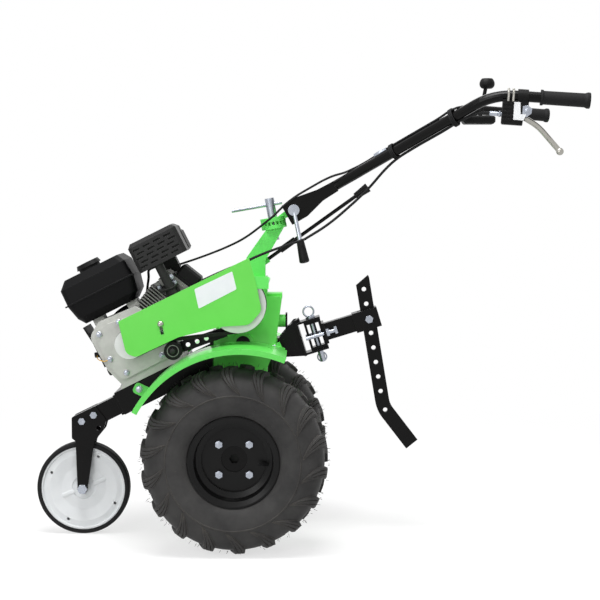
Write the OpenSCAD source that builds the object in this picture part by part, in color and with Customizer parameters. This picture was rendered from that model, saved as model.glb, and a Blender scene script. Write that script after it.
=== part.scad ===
// Walking tractor: two driven wheels, a tilted engine, a folding handlebar and a rear hitch with a coulter.
// X runs rearwards, Y to the machine's right, Z up. Millimetres. The model stands on Z = 0.

/* [Drive wheels] */
// Diameter over the lugs' tips
tyre_d = 483; // [440:1:520]
// Width of the tyre at its widest
tyre_w = 180; // [150:1:200]
// Distance between the two tyres' middle planes
track = 420; // [400:1:480]
// Diameter of the bead seat
rim_d = 203; // [190:1:215]
// Thickness of the rim's sheet
rim_t = 4; // [3:0.5:5]
// Diameter of the circle of wheel bolts
wheel_pcd = 110; // [100:1:120]
// Across flats of the hexagonal axle
axle_af = 23; // [20:0.5:25]
// Radius of the axle's round middle, in its bearings
axle_journal_r = 17.5; // [16:0.5:19]

/* [Front wheel] */
// Diameter of the front wheel over its rubber
front_wheel_d = 250; // [220:1:270]
// Width of the front wheel's rubber
front_wheel_w = 40; // [34:1:42]
// Distance of the front wheel's axle ahead of the drive axle
front_wheel_reach = 419; // [400:1:440]
// Radius of the front wheel's axle bolt
front_axle_r = 8; // [6:0.5:9]

/* [Engine and frame] */
// Slope of the engine and its frame
engine_tilt = 26.5; // [20:0.5:30]
// Distance of the crankshaft ahead of the drive axle
crank_reach = 271; // [262:1:282]
// Height of the crankshaft
crank_z = 532; // [522:1:542]
// Height of the crankshaft above the engine's feet
crank_h = 101; // [98:1:106]
// Outside width of the square wheel arm
arm_w = 50; // [46:1:52]
// Wall of the square tubes
arm_t = 4; // [3:0.5:5]
// Thickness of the fork's plates
fork_t = 5; // [4:0.5:6]
// Outside width over the frame's rails
frame_w = 176; // [168:1:184]

/* [Belt drive] */
// Radius of the engine's pulley
engine_pulley_r = 38; // [34:1:42]
// Radius of the gearbox's pulley
gearbox_pulley_r = 73; // [66:1:78]
// Height of the gearbox's input shaft
input_z = 634; // [628:1:640]
// Distance of the belts' middle plane from the machine's middle
belt_y = 165; // [160:1:168]
// Thickness of the belt cover's sheet
cover_t = 2; // [1.5:0.5:3]

/* [Gearbox] */
// Half width of the gearbox's case
case_half = 50; // [44:1:54]
// Half length of the axle's bearing housings
axle_housing_half = 88; // [80:1:95]

/* [Handlebar] */
// Diameter of the handlebar's tube
bar_d = 27; // [24:0.5:28]
// Wall of the handlebar's tube
bar_t = 2; // [1.5:0.5:3]
// Distance between the two grips' middles
grip_spread = 600; // [520:5:640]
// Slope of the handlebar's straight part
bar_slope = 30; // [27:0.5:33]
// Length of a grip
grip_l = 122; // [110:1:130]

/* [Hitch] */
// Slope of the hitch and its drawbar
hitch_tilt = 17; // [14:0.5:20]
// Radius of the hitch pin
hitch_pin_r = 8; // [7:0.5:9]
// Width of the coulter's bar
coulter_w = 38; // [34:1:42]
// Thickness of the coulter's bar
coulter_t = 12; // [10:0.5:14]
// Distance from hole to hole along the coulter
coulter_pitch = 40; // [36:1:42]

/* [Hidden] */
$fn = 48;
eps = 0.01;
run_gap = 0.05;   // radial clearance of a turning pin
seat_gap = 0.3;   // clearance between pieces that sit together

// Finishes
GREEN = [0.33, 0.78, 0.25];
BLACK = [0.06, 0.06, 0.06];
RUBBER = [0.1, 0.1, 0.1];
STEEL = [0.75, 0.76, 0.77];
CAST = [0.66, 0.67, 0.66];
WHITE = [0.86, 0.87, 0.88];

// Main places, all from the drive axle on the floor
axle_z = tyre_d / 2;
front_x = -front_wheel_reach;
front_z = front_wheel_d / 2;
crank_x = -crank_reach;
input_x = 8;
pivot_x = 151.5;
pivot_z = 876;
swivel_x = 97;
swivel_z = 840;
swivel_tilt = 10;
pin_x = 211;
pin_z = 536;
grip_end_x = 883;
grip_drop = 4.5;
// The part's origin lies on the floor under the middle of its length; a leaning grip's rim reaches 2 further
origin_x = (grip_end_x + 2 + front_x - front_wheel_d / 2) / 2;

// A corner list with each corner rounded to the radius given as its third number
function arc_points(p, q, s, r, steps) =
  let (a = (p - q) / norm(p - q), b = (s - q) / norm(s - q),
       half = acos(a * b) / 2,
       t = r / tan(half),
       m = q + (a + b) / norm(a + b) * r / sin(half),
       from = q + a * t - m, to = q + b * t - m,
       turn = atan2(from.x * to.y - from.y * to.x, from * to),
       start = atan2(from.y, from.x))
  [for (i = [0:steps]) m + r * [cos(start + turn * i / steps), sin(start + turn * i / steps)]];
function rounded(corners, steps = 6) =
  let (n = len(corners))
  [for (i = [0:n - 1])
    let (c = corners[i], p = corners[(i + n - 1) % n], s = corners[(i + 1) % n],
         r = len(c) > 2 ? c[2] : 0)
    each (r == 0 ? [[c.x, c.y]]
                 : arc_points([p.x, p.y], [c.x, c.y], [s.x, s.y], r, steps))];

// Draws children, given in the X-Z plane, as a plate from y0 to y1
module side_plate(y0, y1) {
  translate([0, y1, 0]) rotate([90, 0, 0]) linear_extrude(y1 - y0) children();
}
// A round bar along Y
module bar_y(r, y0, y1) {
  translate([0, y1, 0]) rotate([90, 0, 0]) cylinder(r = r, h = y1 - y0);
}
module at(x, z) { translate([x, 0, z]) children(); }
module both_sides() {
  children();
  mirror([0, 1, 0]) children();
}
// The engine's own frame: its origin is the crankshaft, X along its feet and Z away from them
module engine_frame() { at(crank_x, crank_z) rotate([0, -engine_tilt, 0]) children(); }
module swivel_frame() { at(swivel_x, swivel_z) rotate([0, -swivel_tilt, 0]) children(); }
module bar_frame() { at(pivot_x, pivot_z) rotate([0, -bar_slope, 0]) children(); }
module hitch_frame() { at(pin_x, pin_z) rotate([0, -hitch_tilt, 0]) children(); }

// Bends of a line of corners, each inner corner to its own radius
function unit(v) = v / norm(v);
function bend_angle(p, q, s) = acos(max(-1, min(1, unit(q - p) * unit(s - q))));
function bend_trim(points, radii, i) =
  i == 0 || i == len(points) - 1 ? 0
    : radii[i] * tan(bend_angle(points[i - 1], points[i], points[i + 1]) / 2);
// A cable swept along a smooth curve through its route's points
function curve_point(a, b, c, d, t) =
  0.5 * (2 * b + (c - a) * t + (2 * a - 5 * b + 4 * c - d) * t * t
         + (3 * b - a - 3 * c + d) * t * t * t);
function smooth_route(p, per) =
  let (n = len(p))
  [for (i = [0:n - 2], k = [0:per - 1])
     curve_point(p[max(i - 1, 0)], p[i], p[i + 1], p[min(i + 2, n - 1)], k / per),
   p[n - 1]];
// Points of a line of corners with each inner corner bent to its own radius
function bent_line(points, radii, steps = 6) =
  let (n = len(points))
  [for (i = [0:n - 1])
    if (i == 0 || i == n - 1) points[i]
    else
      let (angle = bend_angle(points[i - 1], points[i], points[i + 1]),
           d = unit(points[i] - points[i - 1]), e = unit(points[i + 1] - points[i]),
           axis = unit(cross(d, e)), out = cross(d, axis),
           start = points[i] - d * bend_trim(points, radii, i),
           centre = start - out * radii[i])
      each [for (k = [0:steps])
        centre + radii[i] * (out * cos(angle * k / steps) + d * sin(angle * k / steps))]];
function rings_along(line, r, sides) =
  let (n = len(line))
  [for (i = [0:n - 1])
    let (d = unit(unit(line[min(i + 1, n - 1)] - line[max(i - 1, 0)])),
         side = unit(cross(d, [0, 1, 0])), up = cross(side, d))
    for (k = [0:sides - 1])
      line[i] + r * (side * cos(360 * k / sides) + up * sin(360 * k / sides))];
function wall_faces(n, sides, from, flip) =
  [for (i = [0:n - 2], k = [0:sides - 1])
    let (a = from + i * sides + k, b = from + i * sides + (k + 1) % sides)
    each (flip ? [[a, b + sides, b], [a, a + sides, b + sides]]
               : [[a, b, b + sides], [a, b + sides, a + sides]])];
module swept_bar(line, r, sides = 8) {
  n = len(line);
  polyhedron(rings_along(line, r, sides), concat(wall_faces(n, sides, 0, false),
    [[for (k = [sides - 1:-1:0]) k], [for (k = [0:sides - 1]) (n - 1) * sides + k]]), convexity = 6);
}
module swept_tube(line, r, t, sides = 16) {
  n = len(line);
  m = n * sides;
  ends = [for (k = [0:sides - 1])
    let (j = (k + 1) % sides, e = (n - 1) * sides)
    each [[k, m + k, m + j], [k, m + j, j],
          [e + k, e + j, m + e + j], [e + k, m + e + j, m + e + k]]];
  polyhedron(concat(rings_along(line, r, sides), rings_along(line, r - t, sides)),
    concat(wall_faces(n, sides, 0, false), wall_faces(n, sides, m, true), ends), convexity = 8);
}
module cable(route, r) { swept_bar(smooth_route(route, 3), r); }

// Drive wheels
axle_half = track / 2 - 15;
hub_face = track / 2 + 11;
flange_r = rim_d / 2 + 15;
seat_half = tyre_w * 0.34;
module spin_y() { rotate([-90, 0, 0]) children(); }
module hex_bar(af, h) { cylinder(r = af / 2 / cos(30), h = h, $fn = 6); }

module axle() {
  color(STEEL) at(0, axle_z) {
    bar_y(axle_journal_r, -axle_housing_half - 8, axle_housing_half + 8);
    translate([0, -axle_half, 0]) spin_y() hex_bar(axle_af, 2 * axle_half);
  }
}
module wheel_bolts_at() {
  for (k = [0:3]) rotate([0, 45 + 90 * k, 0]) at(wheel_pcd / 2, 0) children();
}
module hub_right() {
  difference() {
    union() {
      bar_y(20, axle_housing_half + 20, hub_face);
      bar_y(wheel_pcd / 2 + 15, hub_face - 8, hub_face);
      wheel_bolts_at() {
        bar_y(5, hub_face - 16, hub_face + rim_t + 8);
        translate([0, hub_face + rim_t, 0]) spin_y() hex_bar(17, 7);
      }
    }
    translate([0, 0, 0]) spin_y() hex_bar(axle_af + 0.2, track);
  }
}
module hubs() { color(STEEL) at(0, axle_z) both_sides() hub_right(); }

module rim_profile() {
  r = rim_d / 2;
  d = rim_d / 2 - 13.5;
  w = seat_half;
  t = rim_t;
  f = hub_face - track / 2;
  polygon([[flange_r - t, w + 9], [flange_r, w + 9], [flange_r, w + 5], [r + 3.5, w + 1], [r, w - 31],
    [d, w - 39], [d, 39 - w], [r, 31 - w], [r + 3.5, -w - 1], [flange_r, -w - 5], [flange_r, -w - 9],
    [flange_r - t, -w - 9], [r - 0.5, -w - 3], [r - t, 33 - w], [d - t, 41 - w], [d - t, f],
    [34, f], [34, f + t], [d - t, f + t], [d - t, w - 36], [r - t, w - 29], [r - 0.5, w + 3]]);
}
module rim_one() {
  difference() {
    translate([0, track / 2, 0]) spin_y() rotate_extrude() rim_profile();
    wheel_bolts_at() bar_y(5.5, hub_face - 5, hub_face + rim_t + 5);
  }
}
module rim_right() { color(BLACK) at(0, axle_z) rim_one(); }
module rim_left() { color(BLACK) at(0, axle_z) mirror([0, 1, 0]) rim_one(); }

// Carcass under the tread blocks
lug_h = 10;
lug_n = 18;
module tyre_profile() {
  r = tyre_d / 2 - lug_h;
  b = rim_d / 2 + 3.8;
  h = tyre_w / 2 - 2;
  w = seat_half;
  polygon(rounded([[b, w - 1.5], [flange_r + 1.5, w + 1.5, 4], [flange_r + 14, h - 4, 12],
    [r - 22, h, 25], [r, h - 32, 40], [r, 32 - h, 40], [r - 22, -h, 25], [flange_r + 14, 4 - h, 12],
    [flange_r + 1.5, -w - 1.5, 4], [b, 1.5 - w], [b, 14 - w], [flange_r + 6, 8 - w, 6],
    [flange_r + 18, 12 - h, 12], [r - 32, 9 - h, 20], [r - 12, 36 - h, 30], [r - 12, h - 36, 30],
    [r - 32, h - 9, 20], [flange_r + 18, h - 12, 12], [flange_r + 6, w - 8, 6], [b, w - 14]]));
}
// Space that the tread blocks of one shoulder fill, from near the crown down the sidewall
module lug_ring() {
  r = tyre_d / 2;
  h = tyre_w / 2;
  polygon([[r - 14, 8], [r, 8], [r, h - 40], [r - 14, h - 16], [r - 34, h - 2], [r - 62, h], [r - 62,
    h - 7],
    [r - 40, h - 10], [r - 26, h - 22], [r - 16, h - 40]]);
}
// One block seen from the side: hooked, and narrower towards the sidewall
lug_line = [[-4.5, -4, 14], [10.5, -4, 14.2], [30, -3, 12.8], [46, -0.4, 9.2], [63, 5, 3]];
function lug_edge(s) = [for (p = lug_line) let (r = tyre_d / 2 - p[0], a = p[1] + s * p[2] / r * 180 / PI)
  [r * sin(a), r * cos(a)]];
function reversed(list) = [for (k = [len(list) - 1:-1:0]) list[k]];
module lug_blocks(turn) {
  intersection() {
    spin_y() rotate_extrude() lug_ring();
    for (k = [0:lug_n - 1]) rotate([0, turn + 360 / lug_n * k, 0]) side_plate(6, tyre_w / 2 + 2)
      polygon(concat(lug_edge(-1), reversed(lug_edge(1))));
  }
}
module tyre_one() {
  translate([0, track / 2, 0]) {
    spin_y() rotate_extrude() tyre_profile();
    lug_blocks(0);
    mirror([0, 1, 0]) lug_blocks(180 / lug_n);
  }
}
module tyre_right() { color(RUBBER) at(0, axle_z) tyre_one(); }
module tyre_left() { color(RUBBER) at(0, axle_z) mirror([0, 1, 0]) tyre_one(); }

// Front wheel and its arm
fork_y = arm_w / 2;
arm_axis_b = -crank_h - 12.5 - arm_w / 2;
module front_wheel_tyre() {
  r = front_wheel_d / 2;
  h = front_wheel_w / 2;
  color(RUBBER) at(front_x, front_z) spin_y() rotate_extrude()
    polygon(rounded([[r - 12, -h], [r, -h, 6], [r, h, 6], [r - 12, h]]));
}
// Half section of the front wheel: its pressed outside, and the hollow between its two sheets
disc_r = front_wheel_d / 2 - 12;
disc_h = front_wheel_w / 2 - 2;
sheet_t = 2.5;
module disc_outside() {
  r = disc_r;
  h = disc_h;
  polygon(rounded([[30, -9, 3], [60, -7, 20], [r - 22, 4 - h, 6], [r - 6, 6 - h, 3], [r - 4, -h], [r, -h],
    [r, h], [r - 4, h], [r - 6, h - 6, 3], [r - 22, h - 4, 6], [60, 7, 20], [30, 9, 3]]));
}
module disc_hollow() {
  r = disc_r;
  h = disc_h - sheet_t;
  polygon([[32, sheet_t - 9], [60, sheet_t - 6], [r - 22, 4 - h], [r - 4, 6 - h], [r - 4, h - 6],
    [r - 22, h - 4], [60, 6 - sheet_t], [32, 9 - sheet_t]]);
}
module front_wheel_disc() {
  color(WHITE) at(front_x, front_z) difference() {
    union() {
      difference() {
        spin_y() rotate_extrude() disc_outside();
        spin_y() rotate_extrude() disc_hollow();
      }
      bar_y(36, -6, 6);
      bar_y(17, -fork_y + seat_gap, fork_y - seat_gap);
    }
    bar_y(front_axle_r + run_gap, -60, 60);
    for (k = [0:3]) rotate([0, 26 + 90 * k, 0]) at(front_wheel_d / 2 - 30, 0) bar_y(4, -30, 30);
  }
}
fork_bolt_a = [front_x, front_z + 184];
fork_bolt_b = [front_x + 32, front_z + 201];
module fork_outline() {
  x = front_x;
  z = front_z;
  polygon(rounded([[x - 27.6, z + 194, 6], [x + 36.3, z + 225.3, 6], [x + 66, z + 188, 14],
    [x + 58, z + 160, 14], [x + 33.2, z + 130, 22], [x + 13.5, z], [x - 13.5, z],
    [x - 17.5, z + 130, 10], [x - 27.6, z + 137, 6]]));
}
module fork_plate() {
  difference() {
    union() {
      side_plate(-fork_y - fork_t, -fork_y) fork_outline();
      at(front_x, front_z) bar_y(13.5, -fork_y - fork_t, -fork_y);
    }
    at(front_x, front_z) bar_y(front_axle_r + run_gap, -60, 0);
    for (p = [fork_bolt_a, fork_bolt_b]) at(p.x, p.y) bar_y(5.2, -60, 0);
    at(front_x + 45, front_z + 165) bar_y(6.5, -60, 0);
  }
}
module wheel_fork() { color(BLACK) both_sides() fork_plate(); }
module hex_bolt_y(r, af, head, y0, y1) {
  bar_y(r, y0 - head, y1 + head);
  translate([0, y0 - head, 0]) spin_y() hex_bar(af, head);
  translate([0, y1, 0]) spin_y() hex_bar(af, head);
}
module fork_bolts() {
  y = fork_y + fork_t;
  color(STEEL) {
    for (p = [fork_bolt_a, fork_bolt_b]) at(p.x, p.y) hex_bolt_y(5, 17, 7, -y, y);
    at(front_x, front_z) hex_bolt_y(front_axle_r, 24, 9, -y, y);
  }
}
arm_front_a = -252;
arm_rear_a = -20;
module arm_box(w, a0, a1) {
  translate([a0, -w / 2, arm_axis_b - w / 2]) cube([a1 - a0, w, w]);
}
module wheel_arm() {
  color(BLACK) difference() {
    engine_frame() difference() {
      arm_box(arm_w, arm_front_a, arm_rear_a);
      arm_box(arm_w - 2 * arm_t, arm_front_a - 1, arm_rear_a + 1);
    }
    for (p = [fork_bolt_a, fork_bolt_b]) at(p.x, p.y) bar_y(5.2, -60, 60);
  }
}

// Frame: an engine plate on two rails, the arm's receiver in front and a plate to the gearbox behind
plate_t = 6;
rail_h = 58;
rail_t = 4;
case_front_x = -62;
hitch_face_x = 107;
// Pivot of the idler's arm and the arm's inner face
arm_pivot = [-40, 556];
arm_y = 137;
module frame() {
  top = -crank_h - plate_t;
  y = frame_w / 2;
  color(BLACK) difference() {
    union() {
      engine_frame() {
        translate([-110, -y, top]) cube([216, frame_w, plate_t]);
        both_sides() {
          translate([-110, y - rail_t, top - rail_h]) cube([300, rail_t, rail_h]);
          translate([-110, y - 26, top - rail_t]) cube([300, 26, rail_t]);
          translate([-110, y - 26, top - rail_h]) cube([300, 26, rail_t]);
        }
        translate([-110, -y, top - rail_h]) cube([rail_t, frame_w, rail_h]);
        translate([-24, -y, top - rail_h]) cube([rail_t, frame_w, rail_h]);
        arm_box(arm_w + 2 * arm_t + 2 * seat_gap, -127, arm_rear_a);
      }
      translate([case_front_x - 8, -y, 440]) cube([8, frame_w, 108]);
    }
    engine_frame() arm_box(arm_w + 2 * seat_gap, -128, arm_rear_a + 10);
    translate([case_front_x, -y - 1, 380]) cube([200, frame_w + 2, 300]);
  }
}

// Gearbox
module case_outline() {
  polygon(rounded([[-54, 690, 40], [80, 690, 6], [80, 646], [120, 646, 6], [114, 600, 20], [100, 500, 20],
    [80, 455, 30], [70, axle_z, 20], [-70, axle_z, 20], [-60, 455, 30], [-56, 560, 20]]));
}
module gearbox() {
  color(GREEN) difference() {
    union() {
      side_plate(-case_half, case_half) case_outline();
      at(0, axle_z) bar_y(74, -case_half, case_half);
      at(0, axle_z) bar_y(50, -axle_housing_half, axle_housing_half);
      at(input_x, input_z) bar_y(44, -100, case_half + 12);
      at(17, 524) bar_y(27, -68, case_half + 8);
      at(arm_pivot.x, arm_pivot.y) bar_y(11, -arm_y, 0);
      both_sides() at(100, 505) bar_y(16, 40, gear_ear_y);
      translate([case_front_x, -case_half, 448]) cube([40, 2 * case_half, 92]);
      translate([60, -34, 478]) cube([hitch_face_x - 60, 68, 56]);
      translate([100, 0, 578]) rotate([0, 90, 0]) cylinder(r = 17, h = 29);
      translate([70, -34, 640]) cube([50, 68, 14]);
    }
    at(0, axle_z) bar_y(axle_journal_r + run_gap, -100, 100);
  }
}
module gearbox_plug() {
  color(BLACK) at(17, 524) {
    bar_y(19, -76, -68);
    bar_y(9, -80, -76);
  }
}

// Engine
cyl_tilt = 25;
cyl_y = -20;
block_y0 = -90;
block_y1 = 50;
module cyl_frame() { engine_frame() translate([0, cyl_y, 0]) rotate([0, -cyl_tilt, 0]) children(); }
module engine_block() {
  color(CAST) engine_frame() {
    translate([-86, block_y0, -crank_h]) cube([185, block_y1 - block_y0, 10]);
    side_plate(block_y0, block_y1) polygon(rounded([[-78, -96, 4], [90, -96, 4], [104.8, -40, 10],
      [48.7, 80, 20], [-60, 86, 20], [-100, 60, 25], [-96, -40, 30]]));
    for (x = [-80, 20]) translate([x, -40, 60]) cube([30, 60, 36]);
  }
}
module engine_side_cover() {
  color(CAST) engine_frame() {
    side_plate(-104, block_y0) polygon(rounded([[-70, -80, 15], [66, -80, 15], [92, -20, 20],
      [72, 50, 25], [-40, 72, 25], [-84, 60, 15], [-86, -30, 20]]));
    bar_y(34, -112, -95);
    for (p = [[-71, 56], [-75, -15], [-52, -66], [52, -66], [80, -14], [52, 50], [-10, 62]])
      at(p.x, p.y) bar_y(8, -108, block_y0);
    at(92, 11) bar_y(12, -104, block_y0);
    at(92, 11) bar_y(7, -195, -100);
  }
}
fin_pitch = 8;
fin_half = 58;
module engine_cylinder() {
  color(CAST) cyl_frame() {
    translate([78.2, 0, 0]) rotate([0, 90, 0]) cylinder(r = 44, h = 121.8);
    for (i = [0:7]) translate([84 + fin_pitch * i, -fin_half, -56]) cube([3, 2 * fin_half, 112]);
    translate([150, -50, -50]) cube([50, 100, 96]);
    for (i = [0:3]) translate([154 + 12 * i, -56, -54]) cube([5, 112, 104]);
  }
}
module valve_cover() {
  color(BLACK) cyl_frame() {
    translate([200, -42, -46]) cube([6, 84, 76]);
    translate([200, -36, -40]) chamfer_box(40, 72, 64, 6);
  }
}
tank_b = 96;
module tank_level(a0, a1, y0, y1, b, r, h) {
  for (a = [a0 + r, a1 - r], y = [y0 + r, y1 - r]) translate([a, y, b]) cylinder(r = r, h = h, $fn = 32);
}
module fuel_tank() {
  color(BLACK) engine_frame() {
    hull() {
      tank_level(-118, 76, -82, 112, 158, 14, 2);
      tank_level(-117, 72, -80, 110, 200, 14, 2);
      tank_level(-98, 60, -62, 92, 222, 12, 1);
    }
    hull() {
      tank_level(-118, 76, -82, 112, 154, 16, 4);
      tank_level(-110, 68, -79, 108, 116, 20, 2);
      tank_level(-98, 46, -66, 96, tank_b, 20, 1);
    }
    translate([-122, -86, 156]) cube([202, 202, 4]);
  }
}
module tank_cap() {
  color(BLACK) engine_frame() translate([-31, 15, 223]) {
    cylinder(r = 30, h = 8);
    translate([0, 0, 8]) cylinder(r1 = 35, r2 = 31, h = 12);
  }
}
// A box with all its edges chamfered
module chamfer_box(l, w, h, c) {
  hull() {
    translate([c, c, 0]) cube([l - 2 * c, w - 2 * c, h]);
    translate([c, 0, c]) cube([l - 2 * c, w, h - 2 * c]);
    translate([0, c, c]) cube([l, w - 2 * c, h - 2 * c]);
  }
}
module muffler() {
  color(STEEL) engine_frame() {
    translate([106, -100, 156]) cube([120, 72, 64]);
    translate([166, -106, 188]) cube([8, 8, 8]);
    at(150, 66) bar_y(12, -90, cyl_y - 56);
    translate([150, -90, 66]) sphere(r = 12);
    translate([150, -90, 66]) cylinder(r = 12, h = 94);
  }
}
shield_t = 1.5;
shield_c = 10;
module muffler_shield() {
  t = shield_t;
  color(BLACK) engine_frame() difference() {
    translate([97, -107.5, 136]) chamfer_box(138, 94, 95, shield_c);
    translate([97 + t, -107.5 + t, 130]) chamfer_box(138 - 2 * t, 110, 101 - t, shield_c - 0.6 * t);
    translate([90, -120, 120]) cube([160, 120, 30]);
    translate([90, -27.5, 120]) cube([160, 60, 120]);
    for (i = [0:4], k = [0:3])
      translate([106 + 30 * k + 8 * (i % 2), -120, 160 + 12 * i]) cube([20, 20, 4.5]);
  }
}
module air_filter() {
  color(BLACK) engine_frame() {
    translate([128, 8, 152]) chamfer_box(106, 96, 60, 6);
    translate([132, 12, 200]) chamfer_box(98, 88, 34, 12);
  }
}
module carburettor() {
  y0 = cyl_y + fin_half + seat_gap;
  color(CAST) engine_frame() {
    translate([140, y0, 100]) cube([46, 44, 52]);
    translate([163, y0 + 22, 82]) cylinder(r = 20, h = 20);
  }
}
module blower_housing() {
  color(BLACK) engine_frame() {
    bar_y(92, block_y1, 108);
    side_plate(block_y1, 96) polygon(rounded([[-60, -66, 10], [40, -88, 20], [150, -20, 20],
      [190, 60, 20], [170, 80, 10], [40, 82, 10], [-60, 66, 10]]));
  }
}
module recoil_starter() {
  color(BLACK) engine_frame() difference() {
    translate([0, 108, 0]) spin_y() rotate_extrude()
      polygon(rounded([[0, 0], [86, 0], [84, 16, 8], [62, 34, 10], [0, 40]]));
    for (k = [0:11]) rotate([0, 30 * k, 0]) translate([44, 118, -3]) cube([24, 60, 6]);
  }
}

// Belt drive
belt_w = 13;
belt_h = 8;
idler_r = 24;
idler_x = -159;
idler_z = 515;
belt_gap = 8;
pulley_y0 = -belt_y - 21;
pulley_y1 = -belt_y + 21;
function arc_line(c, r, from, to, n) =
  [for (i = [0:n]) let (a = from + (to - from) * i / n) c + r * [cos(a), sin(a)]];
// Line of the belt at a distance out from its middle: round the engine's pulley, over the idler, round the gearbox's
function belt_line(out) =
  let (e = [crank_x, crank_z], g = [input_x, input_z], i = [idler_x, idler_z],
       re = engine_pulley_r - 3, rg = gearbox_pulley_r - 3, ri = idler_r + belt_h / 2,
       top = atan2(g.y - e.y, g.x - e.x) + acos((re - rg) / norm(g - e)),
       gi = atan2(i.y - g.y, i.x - g.x) + 360 + acos((rg + ri) / norm(i - g)),
       ie = atan2(i.y - e.y, i.x - e.x) - acos((re + ri) / norm(i - e)))
  concat(arc_line(e, re + out, top, ie + 360, 24),
         arc_line(i, ri - out, ie + 180, gi - 180, 4),
         arc_line(g, rg + out, gi, top + 360, 40));
module belt_at(y) {
  difference() {
    side_plate(y - belt_w / 2, y + belt_w / 2) polygon(belt_line(belt_h / 2));
    side_plate(y - belt_w, y + belt_w) polygon(belt_line(-belt_h / 2));
  }
}
module drive_belts() { color(RUBBER) for (s = [-1, 1]) belt_at(-belt_y + s * belt_gap); }
module pulley(r, hub_r, hub_y) {
  g = r - 3 - belt_h / 2 - seat_gap;
  w = belt_w / 2 + seat_gap;
  spin_y() rotate_extrude() polygon([[0, -21], [r, -21], [r, -belt_gap - w], [g, -belt_gap - w],
    [g, -belt_gap + w], [r, -belt_gap + w], [r, belt_gap - w], [g, belt_gap - w], [g, belt_gap + w],
    [r, belt_gap + w], [r, 21], [hub_r, 21], [hub_r, hub_y], [0, hub_y]]);
}
module engine_pulley() { color(CAST) translate([crank_x, -belt_y, crank_z]) pulley(engine_pulley_r, 18,
  belt_y - 112); }
module gearbox_pulley() { color(CAST) translate([input_x, -belt_y, input_z]) pulley(gearbox_pulley_r, 24,
  belt_y - 100); }
module idler_pulley() {
  color(BLACK) at(idler_x, idler_z) {
    bar_y(idler_r - seat_gap, pulley_y0 + 2, pulley_y1 - 2);
    bar_y(8, pulley_y0 - 5, pulley_y0 + 2);
  }
}
module idler_arm() {
  i = [idler_x, idler_z];
  d = unit(arm_pivot - i);
  n = [-d.y, d.x];
  color(BLACK) difference() {
    union() {
      side_plate(-arm_y - 6, -arm_y) polygon(rounded([i - 15 * d - 15 * n, arm_pivot + 16 * d - 13 * n,
        arm_pivot + 16 * d + 13 * n, i - 15 * d + 15 * n]));
      at(i.x, i.y) bar_y(6, pulley_y1 - 2 + seat_gap, -arm_y);
    }
    for (t = [0.3, 0.5, 0.7]) at((i + (arm_pivot - i) * t).x, (i + (arm_pivot - i) * t).y) bar_y(6,
      -arm_y - 7, 0);
  }
}
module belt_cover_outline() {
  polygon(rounded([[-297.5, 592], [-278, 510, 20], [-253, 500, 20], [-143, 552, 60], [-33, 579, 60],
    [37.7, 583, 30], [70, 620, 20], [56, 691, 30], [37.7, 755]]));
}
cover_y = -197;
module belt_cover() {
  color(GREEN) difference() {
    union() {
      side_plate(cover_y - cover_t, cover_y) belt_cover_outline();
      translate([-297.5, cover_y, 592]) rotate([0, -atan2(163, 335.2), 0]) translate([0, 0, -cover_t])
        cube([372, 14, cover_t]);
    }
    side_plate(cover_y - 5, cover_y + 1) polygon([[-194, 586], [-188, 558], [-180, 560], [-186, 588]]);
  }
}

// Fenders
fender_x = 16;
fender_z = 223.5;
fender_r = 308;
fender_t = 2;
fender_from = 67.5;
fender_to = 151;
fender_y0 = 105;
fender_y1 = 300;
fender_lip = 14;
gear_ear_y = 54;
module fender_profile() {
  polygon([[fender_r, fender_y0], [fender_r, fender_y1], [fender_r - fender_lip, fender_y1],
    [fender_r - fender_lip, fender_y1 - fender_t], [fender_r - fender_t, fender_y1 - fender_t],
    [fender_r - fender_t, fender_y0]]);
}
module fender_turn(a0, a1) {
  at(fender_x, fender_z) rotate([90, 0, 0]) mirror([0, 0, 1]) rotate([0, 0, a0])
    rotate_extrude(angle = a1 - a0) children();
}
module fender_tongue(a0, a1, y0) {
  fender_turn(a0, a1) translate([fender_r - fender_t - 1, y0]) square([fender_t, fender_y0 + 6 - y0]);
}
// A flat ear from a bolt to a point on the fender's arc
function fender_at(a) = [fender_x + (fender_r - fender_t) * cos(a),
  fender_z + (fender_r - fender_t) * sin(a)];
module fender_ear(p, q, w, y) {
  d = unit(q - p);
  n = [-d.y, d.x];
  side_plate(y, y + 3) polygon(rounded([concat(p - w * d - w * n, 10), q + 4 * d - w * n, q + 4 * d + w * n,
    concat(p - w * d + w * n, 10)]));
}
front_ear = [-257, 404];
rear_ear = [100, 505];
module fender_one() {
  ear = frame_w / 2;
  fender_turn(fender_from, fender_to) fender_profile();
  fender_tongue(fender_to - 9, fender_to - 1, ear + 1);
  fender_ear(front_ear, fender_at(fender_to - 5), 15, ear);
  fender_tongue(fender_from + 1, fender_from + 6, gear_ear_y + 1);
  fender_ear(rear_ear, fender_at(fender_from + 3.5), 13, gear_ear_y);
}
module fender_right() { color(GREEN) fender_one(); }
module fender_left() { color(GREEN) mirror([0, 1, 0]) fender_one(); }

// Handlebar column and its swivel
swivel_r = 34;
screw_r = 8;
tooth_h = 4;
tooth_n = 18;
collar_r = 12.5;
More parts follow.
